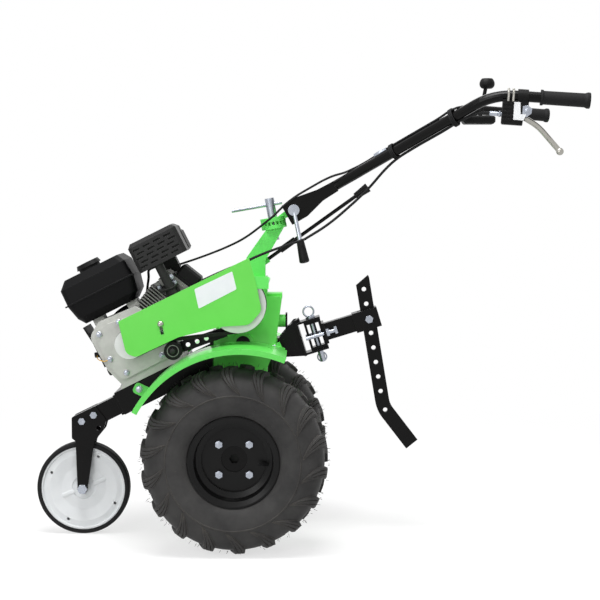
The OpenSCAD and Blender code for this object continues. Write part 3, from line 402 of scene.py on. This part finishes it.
# Lug stations: radius, distance from the middle plane, turn in degrees, half width and height.
LUG = [(231.3, 10, 0, 12, 8.6), (230.6, 30, -2.2, 12.5, 9.6), (228, 48, -3.6, 13.5, 10.2),
       (223, 61, -4.0, 14.2, 10), (216, 71, -3.6, 13.6, 9), (207, 79, -2.4, 11.6, 7.4),
       (196, 84.8, -0.4, 9.2, 5.6), (186, 87.8, 2.4, 6.4, 3.6), (177, 89.3, 5.6, 2.4, 1.0)]
# A lug's section, with two sipes, as shares of its half width and height.
LUG_SECTION = [(-1.12, -0.3), (-0.86, 1), (-0.46, 1), (-0.38, 0.55), (-0.30, 1), (0.30, 1), (0.38, 0.55),
               (0.46, 1), (0.86, 1), (1.12, -0.3)]
LUGS = 18
TYRE_STEPS = 108


def lug(bm, side, phase):
    """One tread block that starts near the crown, wraps round the shoulder and tapers down the sidewall."""
    def ring(k):
        r, y, turn, half, height = LUG[k]
        before, after = LUG[max(k - 1, 0)], LUG[min(k + 1, len(LUG) - 1)]
        along_r, along_y = after[0] - before[0], after[1] - before[1]
        size = math.hypot(along_r, along_y)
        out_r, out_y = along_y / size, -along_r / size
        points = []
        for across, up in LUG_SECTION:
            rr, yy = r + out_r * up * height, y + out_y * up * height
            angle = math.radians(phase + turn) + across * half / r
            points.append(Vector((rr * math.sin(angle), side * yy, rr * math.cos(angle))) / 1000)
        return points
    grow(bm, [ring(k) for k in range(len(LUG))])


def tyre(name, node, y, outer):
    """A balloon tyre: its carcass is spun, and blocks stand round both shoulders."""
    bm = bmesh.new()
    outline = SIDEWALL + [(r, -w) for r, w in reversed(SIDEWALL)]
    start = [bm.verts.new((0, w / 1000, r / 1000)) for r, w in outline]
    edges = [bm.edges.new(pair) for pair in zip(start, start[1:] + start[:1])]
    bmesh.ops.spin(bm, geom=start + edges, axis=(0, 1, 0), cent=(0, 0, 0), steps=TYRE_STEPS,
                   angle=2 * math.pi, use_merge=True)
    bmesh.ops.remove_doubles(bm, verts=bm.verts, dist=1e-6)
    for k in range(LUGS):
        lug(bm, outer, k * 360 / LUGS)
        lug(bm, -outer, (k + 0.5) * 360 / LUGS)
    bmesh.ops.translate(bm, vec=spot(0, y, AXLE_Z), verts=bm.verts)
    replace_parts(piece(name, bm, tyre_rubber, "drive_wheels", sharp=42), node)


tyre("tread_tyre_left", "tyre_left", -TRACK_HALF, -1)
tyre("tread_tyre_right", "tyre_right", TRACK_HALF, 1)


HAIRS = 260
HAIR_FOOT, HAIR_TIP = 0.00075, 0.0003


def hairs(name, y, outer):
    """The thin rubber hairs that the mould leaves on a new tyre: three on the tread to one on the outer sidewall."""
    draw = random.Random(7)
    bm = bmesh.new()
    for k in range(HAIRS):
        angle = draw.uniform(0, 2 * math.pi)
        on_tread = k % 4 != 0
        if on_tread:
            w = draw.uniform(-60, 60)
            foot = 229 if abs(w) > 45 else 240
            out_r, out_y = 1, w / 200
        else:
            foot = draw.uniform(122, 200)
            w = outer * (76 + (foot - 122) * 0.45) if foot < 152 else outer * 88
            out_r, out_y = 0.2, outer
        length = draw.uniform(5, 10) if on_tread else draw.uniform(2, 4)
        direction = Vector((out_r * math.sin(angle), out_y, out_r * math.cos(angle)))
        direction += Vector((draw.uniform(-0.5, 0.5), draw.uniform(-0.3, 0.3), draw.uniform(-0.5, 0.5)))
        direction.normalize()
        base = Vector((foot * math.sin(angle), w, foot * math.cos(angle))) / 1000 + spot(0, y, AXLE_Z)
        if (base + direction * length / 1000).z < 0.001:
            continue
        bmesh.ops.create_cone(bm, cap_ends=True, segments=3, radius1=HAIR_FOOT, radius2=HAIR_TIP,
                              depth=length / 1000,
                              matrix=facing(base, direction) @ Matrix.Translation((0, 0, length / 2000)))
    return piece(name, bm, tyre_rubber, "drive_wheels")


hairs("mould_hairs_left", -TRACK_HALF, -1)
hairs("mould_hairs_right", TRACK_HALF, 1)


# Wheel fittings
WHEEL_BOLT_RADIUS = 55.0
RIM_FACE = 225.1
VALVE_STEM = [(0, -8), (5.6, -8), (5.2, 0), (4.2, 12), (3.9, 24), (3.0, 25), (3.0, 33), (2.2, 34.5), (0, 34.5)]


def wheel_bolt_places(side):
    """The four bolts on one wheel's face, looking outwards."""
    turns = [math.radians(45 + 90 * k) for k in range(4)]
    return [facing(spot(WHEEL_BOLT_RADIUS * math.cos(t), side * RIM_FACE, AXLE_Z + WHEEL_BOLT_RADIUS * math.sin(t)),
                   (0, side, 0)) for t in turns]


for side, hand in ((-1, "left"), (1, "right")):
    bolts(f"wheel_bolts_{hand}", wheel_bolt_places(side), "drive_wheels", flats=18.4, head=12.6, washer=0)
    lathe_piece(f"valve_stem_{hand}", VALVE_STEM,
                facing(spot(88, side * 232, AXLE_Z - 12), (-0.75, side * 0.66, 0.1)),
                grip_rubber, "drive_wheels")


# Belt cover and idler
LEFT = (0, -1, 0)
LABEL_CORNERS = [(-102, 675), (-5, 721), (6, 675), (-91, 625)]
LABEL_THICK = 0.0005
IDLER_X, IDLER_Z = -159, 515
IDLER_FACE, IDLER_BOSS_END = -184, -191

plate_piece("label_plate", [spot(x, COVER_FACE - 0.1, z) for x, z in LABEL_CORNERS], (0, -LABEL_THICK, 0),
            label_white, "chassis", bevel=0.003)
lathe_piece("cover_bolt", [(0, 0), (8.2, 0), (8.4, 1), (7.6, 3), (5.6, 5), (3, 6), (0, 6.4)],
            facing(spot(-189, COVER_FACE, 586), LEFT), bright_steel, "chassis")
lathe_piece("idler_bearing",
            [(13.4, -1), (13.4, 0.8), (13.8, 1.2), (15.2, 1.2), (15.6, 0.8), (15.6, -1), (13.4, -1)],
            facing(spot(IDLER_X, IDLER_FACE, IDLER_Z), LEFT), fin_alloy, "chassis", steps=40)
bolts("idler_bolt", [facing(spot(IDLER_X, IDLER_BOSS_END, IDLER_Z), LEFT)], "chassis", flats=13, head=5, washer=0,
      surface_finish=pipe_steel)


# Bolts of the engine and fenders
SIDE_COVER_FACE = -108
SIDE_COVER_BOLTS = [(-71, 56), (-75, -15), (-52, -66), (52, -66), (80, -14), (52, 50), (-10, 62)]
ENGINE_FOOT = -91


def both_sides(x, y, z):
    """The same place on the left and the right, each looking outwards."""
    return [facing(spot(x, side * y, z), (0, side, 0)) for side in (-1, 1)]


bolts("side_cover_bolts", [facing(on_engine(a, SIDE_COVER_FACE, b), LEFT) for a, b in SIDE_COVER_BOLTS], "chassis",
      flats=10, head=6, washer=7.5)
bolts("engine_foot_bolts", [facing(on_engine(a, y, ENGINE_FOOT), from_engine(0, 0, 1))
                            for a in (-74, 84) for y in (-78, 38)], "chassis", flats=13, head=7, washer=10)
bolts("fender_front_bolts", both_sides(-257, 91, 404), "chassis", flats=13, head=7, washer=9)
bolts("fender_rear_bolts", both_sides(100, 57, 505), "chassis", flats=17, head=9, washer=13)


# Front wheel: two oblong mounds pressed into its disc, on a line through its middle
FRONT_WHEEL_X, FRONT_WHEEL_Z = -419.0, 125.0
RIB_TILT = math.radians(22)
RIB_MIDDLES = (-45, 45)
RIB_HALF, RIB_END_RADIUS = 13, 6.5
RIB_POINTS = 20
# Share of the full size, and distance from the wheel's middle plane, from the foot of a rib to its top.
RIB_LEVELS = ((1.0, -6.0), (1.0, -9.0), (0.8, -10.6), (0.4, -11.2))


def rib_ring(middle, size, y):
    c, s = math.cos(RIB_TILT), math.sin(RIB_TILT)
    ring = []
    for k in range(RIB_POINTS):
        angle = 2 * math.pi * k / RIB_POINTS
        along = middle + size * (math.copysign(RIB_HALF, math.cos(angle)) + RIB_END_RADIUS * math.cos(angle))
        across = size * RIB_END_RADIUS * math.sin(angle)
        ring.append(spot(FRONT_WHEEL_X + along * c - across * s, y, FRONT_WHEEL_Z + along * s + across * c))
    return ring


bm = bmesh.new()
for middle in RIB_MIDDLES:
    grow(bm, [rib_ring(middle, size, y) for size, y in RIB_LEVELS])
piece("pressed_ribs", bm, wheel_white, "front_wheel", sharp=60)


# Engine fittings
CYLINDER_LEAN = math.radians(25)
CYLINDER_Y = -20


def on_cylinder(a, y, b):
    """A point in the cylinder's own frame, which leans further than the engine."""
    c, s = math.cos(CYLINDER_LEAN), math.sin(CYLINDER_LEAN)
    return on_engine(a * c - b * s, y + CYLINDER_Y, a * s + b * c)


bolts("head_bolts", [facing(on_cylinder(a, -56, b), LEFT) for a, b in ((160, -30), (192, -30), (192, 28))], "chassis",
      flats=10, head=7, washer=8)
lathe_piece("exhaust_flange", [(12.3, 0), (19.5, 0), (20, 0.6), (20, 5.4), (19.5, 6), (12.3, 6), (12.3, 0)],
            facing(on_engine(150, -76.5, 66), LEFT), pipe_steel, "chassis", steps=32)

# The flange at the foot of the exhaust pipe, with a nut on each side of the pipe.
PIPE_FOOT = Vector((-179.8, -80, 671.3))
PIPE_UP = Vector((-0.30, -0.30, 0.90)).normalized()
PIPE_ACROSS = Vector((0.949, 0, 0.316))
FOOT_THICK = 6
NUT_REACH = 20
lathe_piece("pipe_foot_flange", [(0, 0), (25.4, 0), (26, 0.6), (26, 5.4), (25.4, FOOT_THICK), (0, FOOT_THICK)],
            facing(spot(*PIPE_FOOT), PIPE_UP), pipe_steel, "chassis", steps=32)
bolts("pipe_foot_nuts", [facing(spot(*(PIPE_FOOT + PIPE_UP * FOOT_THICK + PIPE_ACROSS * reach)), PIPE_UP)
                         for reach in (-NUT_REACH, NUT_REACH)], "chassis", flats=12, head=9, washer=0)

PLUG, PLUG_BEND = on_cylinder(188, -60, 40), on_cylinder(196, -62, 54)
bm = bmesh.new()
rod(bm, [PLUG, PLUG_BEND, on_engine(120, -40, 150), on_engine(96, 20, 128), on_engine(70, 58, 96)], 3.4)
turned(bm, [(0, -8), (6.5, -8), (7.5, 0), (7.5, 10), (6, 15), (0, 15.5)],
       facing(on_cylinder(186, -59, 36), PLUG_BEND - PLUG))
piece("spark_plug_lead", bm, plastic_black, "chassis")
bm = bmesh.new()
turned(bm, [(0, -6), (11, -6), (11.5, -5), (11.5, 5), (10, 8), (0, 8.4)],
       facing(on_engine(-95, -52, -46), from_engine(-1, 0, 0)))
turned(bm, [(0, -6), (9, -6), (9, 3), (7.5, 7), (7, 16), (0, 16.4)],
       facing(on_engine(-99, -58, 6), from_engine(-1, 0, 0.3)))
piece("oil_plug_and_sensor", bm, plastic_black, "chassis")
rod_piece("sensor_wire", [[on_engine(-108, -60, 8), on_engine(-109, -76, 2), on_engine(-100, -98, -8),
                           on_engine(-88, -109, -14), on_engine(-78, -111, -15)]], 1.2, wire_yellow, "chassis",
          "black_plastic")
SHROUD_CORNERS = [(-109, 90), (-105, 90), (-100, 40), (-101, -30), (-105, -30), (-104, 40)]
plate_piece("front_shroud", [on_engine(a, -64, b) for a, b in SHROUD_CORNERS], (0, 0.118, 0), plastic_black,
            "chassis")


# Handlebar fittings
# The left tube's straight run and its grip end, which carry the bands, straps and lever fittings.
TUBE_BEND = Vector((262, -36, 940.95))
TUBE_CORNER = Vector((647, -278, 1163.23))
TUBE_END = Vector((883, -300, 1146))
GRIP_ALONG = (TUBE_END - TUBE_CORNER).normalized()
GRIP_UP = Vector((-GRIP_ALONG.z, 0, GRIP_ALONG.x)).normalized()
GRIP_NEAR = GRIP_ALONG.cross(GRIP_UP)
TUBE_ALONG = (TUBE_CORNER - TUBE_BEND).normalized()
TUBE_UP = (Vector((0, 0, 1)) - TUBE_ALONG * TUBE_ALONG.z).normalized()
TUBE_SIDE = TUBE_ALONG.cross(TUBE_UP)


def on_grip(up, near, along):
    """A point in the left grip's own frame."""
    return spot(*(TUBE_CORNER + GRIP_UP * up + GRIP_NEAR * near + GRIP_ALONG * along))


def from_grip(up, near, along):
    """A direction in the left grip's own frame."""
    return on_grip(up, near, along) - on_grip(0, 0, 0)


def on_tube(x, up, side, shift=0.0):
    """A point beside the left tube where it passes that distance behind the axle."""
    base = TUBE_BEND + TUBE_ALONG * ((x - TUBE_BEND.x) / TUBE_ALONG.x + shift)
    return spot(*(base + TUBE_UP * up + TUBE_SIDE * side))


# Two wire bands over the tube, each given as points above and beside the tube's middle.
BAND_ARCH = [(-15, -15.4), (-8, -16), (0, -16.3), (11.5, -11.5), (16.3, 0), (11.5, 11.5), (0, 16.3), (-8, 16),
             (-15, 15.4)]
rod_piece("mount_bands", [[on_grip(up, near, along) for up, near in BAND_ARCH] for along in (37, 49)], 3.0,
          bright_steel, "handlebar", "zinc_steel")

# The clutch lever's housing under the tube, ribbed for the hand, its white latch and the pivot's plate.
# Corners are given as height above and distance along the grip.
HOUSING_NEAR = 12.0
HOUSING_CORNERS = [(-11, 24), (-11, 88), (-40, 88), (-46, 78), (-72, 76), (-72, 27), (-69, 24)]
RIDGES = (-18, -28, -38, -48, -58)
RIDGE_CORNERS = [(0, 26), (0, 48), (-5, 48), (-5, 26)]
LATCH_CORNERS = [(-16, 52), (-16, 67), (-45, 70), (-45, 84), (-60, 78), (-60, 53)]
PIVOT_CORNERS = [(-25, 74), (-22, 86), (-30, 97), (-42, 96), (-52, 84), (-44, 74)]
PIVOT_THICK = 2.4

bm = bmesh.new()
plate(bm, [on_grip(up, -HOUSING_NEAR, along) for up, along in HOUSING_CORNERS], from_grip(0, 2 * HOUSING_NEAR, 0))
for ridge in RIDGES:
    plate(bm, [on_grip(ridge + up, HOUSING_NEAR, along) for up, along in RIDGE_CORNERS], from_grip(0, 1.6, 0))
piece("lever_housing", bm, plastic_black, "handlebar")
plate_piece("lever_latch", [on_grip(up, HOUSING_NEAR, along) for up, along in LATCH_CORNERS], from_grip(0, 3.4, 0),
            latch_white, "handlebar")
bm = bmesh.new()
plate(bm, [on_grip(up, HOUSING_NEAR, along) for up, along in PIVOT_CORNERS], from_grip(0, PIVOT_THICK, 0))
bolt(bm, facing(on_grip(-36, HOUSING_NEAR + PIVOT_THICK, 85), from_grip(0, 1, 0)), flats=8, head=4, washer=6)
piece("lever_pivot_plate", bm, zinc, "handlebar")

bm = bmesh.new()
adjuster = facing(spot(651.3, -278.7, 1115.8), GRIP_ALONG)
turned(bm, [(3.8, -14), (5.4, -13), (5.8, 0), (5.8, 6), (4.6, 7), (4.6, 22), (3.8, 22), (3.8, -14)], adjuster)
hexagon(bm, 13, 5, adjuster, lift=9)
piece("clutch_adjuster", bm, zinc, "handlebar")
lathe_piece("throttle_adjuster",
            [(3.3, 0), (5.0, 1), (5.4, 8), (5.4, 22), (4.2, 24), (4.2, 40), (3.3, 40), (3.3, 0)],
            facing(spot(362, -99, 1017.5), (120, -75.4, 69.3)), zinc, "handlebar")

# Rubber straps that tie the cables to the tube: distance behind the axle, middle and half height.
STRAPS = ((555, -0.6, 22.4), (411, 1.8, 18.4))
STRAP_HALF_WIDTH = 16.2
STRAP_POINTS = 10


def strap(x, middle, half_height, shift):
    turns = [2 * math.pi * k / STRAP_POINTS for k in range(STRAP_POINTS)]
    return [on_tube(x, middle + half_height * math.cos(t), STRAP_HALF_WIDTH * math.sin(t), shift) for t in turns]


rod_piece("cable_straps", [strap(*size, shift) for size in STRAPS for shift in (-4, 0, 4)], 2.1, grip_rubber,
          "handlebar", "rubber", closed=True)

# The idler's spring: twelve coils of eight points each.
SPRING_POINTS = 96
SPRING_RADIUS = 5


def spring_point(k):
    share, turn = k / SPRING_POINTS, k * math.pi / 4
    return spot(-108 + 62 * share, -126 + SPRING_RADIUS * math.cos(turn),
                566 + 24 * share + SPRING_RADIUS * math.sin(turn))


rod_piece("idler_spring", [[spring_point(k) for k in range(SPRING_POINTS + 1)]], 1.1, zinc, "chassis", "zinc_steel",
          detail=2, sides=2)
lathe_piece("clamp_lever_handle",
            [(0, 84), (5.7, 84), (9.4, 84.6), (10, 86), (13.4, 139), (12.6, 142), (9, 143.4), (0, 143.8)],
            facing(spot(151.5, -60, 876), (18, -18, -86)), plastic_black, "handlebar")
lathe_piece("throttle_knob",
            [(0, -0.7), (12.6, -0.6), (16.6, 2), (19.4, 6), (20.4, 11), (19.8, 16), (18.2, 20), (16.2, 23.4),
             (14.4, 25.4), (13.6, 25.9), (0, 25.9)],
            facing(spot(667, 0, 1200), (0, 0, 1)), plastic_black, "handlebar", steps=32, sharp=50)


# Cables
CABLE_DETAIL = 5


def cable(name, node, route, radius):
    """A sheathed control cable from one point of its route to another, attached to no body."""
    points = [spot(*p) for p in route]
    path_mesh = mesh_of(line_of(points, detail=CABLE_DETAIL))
    bpy.data.meshes.remove(path_mesh)
    bm = bmesh.new()
    rod(bm, points, radius, detail=CABLE_DETAIL)
    made = piece(name, bm, grip_rubber, None)
    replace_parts(made, node)
    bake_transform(made)


THROTTLE = [(-160, 56, 728), (-112, 55, 744), (-69, 48, 760), (-26, 25, 778), (17, -2, 800), (58, -38, 829),
            (95, -62, 858), (140, -66, 900), (200, -62, 938), (250, -57, 964), (293.5, -55.8, 978),
            (413.5, -131.2, 1047.3), (513.5, -194.1, 1105), (563.5, -225.5, 1134), (583, -190, 1132),
            (577, -110, 1124), (573, -50, 1118), (580, -18, 1116.4), (592, -6, 1116), (601.6, -6, 1116)]
CLUTCH = [(-84, -179.2, 696), (-40, -176, 716), (20, -160, 741), (70, -118, 762), (120, -100, 780), (180, -97, 800),
          (240, -92, 838), (300, -92, 888), (344, -100, 930), (395, -126, 988), (418, -134.1, 1008.5),
          (445, -151, 1026.6), (526.7, -202.4, 1074.1), (590, -242.2, 1110.4), (625, -266, 1119),
          (651.3, -278.7, 1115.8), (677.1, -281.1, 1113.9)]
# Each cable is split at a point of its route into a lower and an upper piece; the two later points of the tilt are
# not used.
for name, route, radius, cut, tilt_from, tilt_to in (("throttle_cable", THROTTLE, 3.0, 6, 6, 9),
                                                     ("clutch_cable", CLUTCH, 3.5, 5, 8, 11)):
    cable(f"{name}_lower", name, route[:cut + 1], radius)
    cable(f"{name}_upper", name, route[cut:], radius)


# Floor, light and camera
FLOOR_HALF = 9
FLOOR_Y = 2
FLOOR_Z = -0.0006
# What the camera sees of the floor near the part: its own light, and the lamps' light that a shadow takes away.
FLOOR_GLOW, FLOOR_SHADE = 0.68, 0.34
FLOOR_BOUNCE = 0.65
FADE_STARTS, FADE_ENDS = 0.9, 2.6
WORLD_LIGHT = 0.5


def seen_directly(tree):
    """One for the rays that show the background: straight to the camera, in a reflection or through glass."""
    rays = tree.nodes.new("ShaderNodeLightPath")
    seen = rays.outputs["Is Camera Ray"]
    for kind in ("Is Glossy Ray", "Is Transmission Ray"):
        either = tree.nodes.new("ShaderNodeMath")
        either.operation = "MAXIMUM"
        tree.links.new(seen, either.inputs[0])
        tree.links.new(rays.outputs[kind], either.inputs[1])
        seen = either.outputs[0]
    return seen


def shader(tree, kind, level, strength=None):
    """A white or grey shader of that kind."""
    made = tree.nodes.new(kind)
    made.inputs["Color"].default_value = (level, level, level, 1)
    if strength is not None:
        made.inputs["Strength"].default_value = strength
    return made


def mixed(tree, share, a, b):
    made = tree.nodes.new("ShaderNodeMixShader")
    tree.links.new(share, made.inputs[0])
    tree.links.new(a.outputs[0], made.inputs[1])
    tree.links.new(b.outputs[0], made.inputs[2])
    return made


def floor_finish():
    """A pale floor that keeps the part's shadow near it and turns white further out."""
    made = bpy.data.materials.new("studio_floor")
    made.use_nodes = True
    tree = made.node_tree
    tree.nodes.clear()
    near = tree.nodes.new("ShaderNodeAddShader")
    tree.links.new(shader(tree, "ShaderNodeBsdfDiffuse", FLOOR_SHADE).outputs[0], near.inputs[0])
    tree.links.new(shader(tree, "ShaderNodeEmission", 1.0, FLOOR_GLOW).outputs[0], near.inputs[1])
    place = tree.nodes.new("ShaderNodeTexCoord")
    reach = tree.nodes.new("ShaderNodeVectorMath")
    reach.operation = "LENGTH"
    tree.links.new(place.outputs["Object"], reach.inputs[0])
    fade = tree.nodes.new("ShaderNodeMapRange")
    fade.interpolation_type = "SMOOTHSTEP"
    fade.inputs["From Min"].default_value = FADE_STARTS
    fade.inputs["From Max"].default_value = FADE_ENDS
    tree.links.new(reach.outputs["Value"], fade.inputs["Value"])
    shown = mixed(tree, fade.outputs["Result"], near, shader(tree, "ShaderNodeEmission", 1.0, 1.0))
    whole = mixed(tree, seen_directly(tree), shader(tree, "ShaderNodeBsdfDiffuse", FLOOR_BOUNCE), shown)
    output = tree.nodes.new("ShaderNodeOutputMaterial")
    tree.links.new(whole.outputs[0], output.inputs["Surface"])
    return made


bm = bmesh.new()
bmesh.ops.create_grid(bm, x_segments=8, y_segments=8, size=FLOOR_HALF)
bmesh.ops.translate(bm, vec=(0, FLOOR_Y, FLOOR_Z), verts=bm.verts)
floor_mesh = bpy.data.meshes.new("studio_floor")
bm.to_mesh(floor_mesh)
bm.free()
floor_mesh.materials.append(floor_finish())
floor = bpy.data.objects.new("studio_floor", floor_mesh)
scene.collection.objects.link(floor)

scene.world = bpy.data.worlds.new("studio")
scene.world.use_nodes = True
sky = scene.world.node_tree
sky.nodes.clear()
backdrop = mixed(sky, seen_directly(sky), shader(sky, "ShaderNodeBackground", 1.0, WORLD_LIGHT),
                 shader(sky, "ShaderNodeBackground", 1.0, 1.0))
sky_output = sky.nodes.new("ShaderNodeOutputWorld")
sky.links.new(backdrop.outputs[0], sky_output.inputs["Surface"])


def look_along(direction):
    """The turn of a lamp or camera that looks along the direction."""
    return Vector(direction).to_track_quat("-Z", "Y").to_euler()


def lamp(name, place, target, size, power):
    data = bpy.data.lights.new(name, "AREA")
    data.shape = "RECTANGLE"
    data.size, data.size_y = size
    data.energy = power
    made = bpy.data.objects.new(name, data)
    scene.collection.objects.link(made)
    made.location = place
    made.rotation_euler = look_along(Vector(target) - Vector(place))


lamp("softbox_over", (-0.35, -0.75, 3.3), (-0.1, -0.1, 0.5), (2.0, 1.0), 92)
lamp("softbox_front", (-1.6, -3.2, 1.7), (0, 0, 0.55), (1.8, 1.6), 36)
lamp("softbox_rear", (0.5, 2.6, 2.8), (0, 0, 0.6), (2.2, 1.6), 16)

CAMERA_AT = (0.0001, -3.8422, 0.89675)
CAMERA_YAW = -0.0007
CAMERA_PITCH = 0.0683
camera = bpy.data.cameras.new("camera")
camera.sensor_width = 36
camera.lens = 85.72
camera_object = bpy.data.objects.new("camera", camera)
scene.collection.objects.link(camera_object)
camera_object.location = CAMERA_AT
camera_object.rotation_euler = look_along((math.sin(CAMERA_YAW) * math.cos(CAMERA_PITCH),
                                           math.cos(CAMERA_YAW) * math.cos(CAMERA_PITCH), -math.sin(CAMERA_PITCH)))
scene.camera = camera_object
scene.view_settings.view_transform = "Standard"
